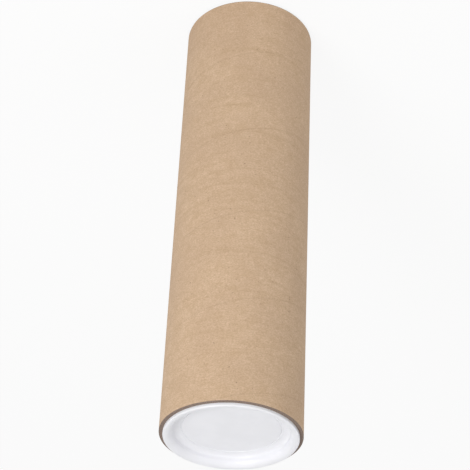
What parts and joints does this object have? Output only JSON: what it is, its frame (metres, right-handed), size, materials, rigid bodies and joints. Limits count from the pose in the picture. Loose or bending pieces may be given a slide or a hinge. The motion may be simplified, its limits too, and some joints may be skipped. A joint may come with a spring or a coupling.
{
  "type": "cardboard mailing tube",
  "caption": "Round kraft cardboard mailing tube with a dished white push-in plug closing each end.",
  "frame": {"origin": "middle of the flat ring that the lower plug rests on", "axes": "+Z along the tube's axis, from the lower plug to the upper plug"},
  "size_m": [0.0826, 0.0826, 0.3],
  "materials": {
    "kraft_board": "matte kraft paper",
    "white_plastic": "satin moulded polyethylene"
  },
  "bodies": {
    "lower_plug": {"bottom_plug": "white_plastic"},
    "tube": {"kraft_tube": "kraft_board"},
    "upper_plug": {"top_plug": "white_plastic"}
  },
  "joints": [
    {"name": "lower_plug_pull", "type": "slide", "parent": "lower_plug", "child": "tube", "axis": [0, 0, 1], "range_m": [0, 0.02]},
    {"name": "upper_plug_pull", "type": "slide", "parent": "tube", "child": "upper_plug", "axis": [0, 0, 1], "range_m": [0, 0.02]}
  ]
}
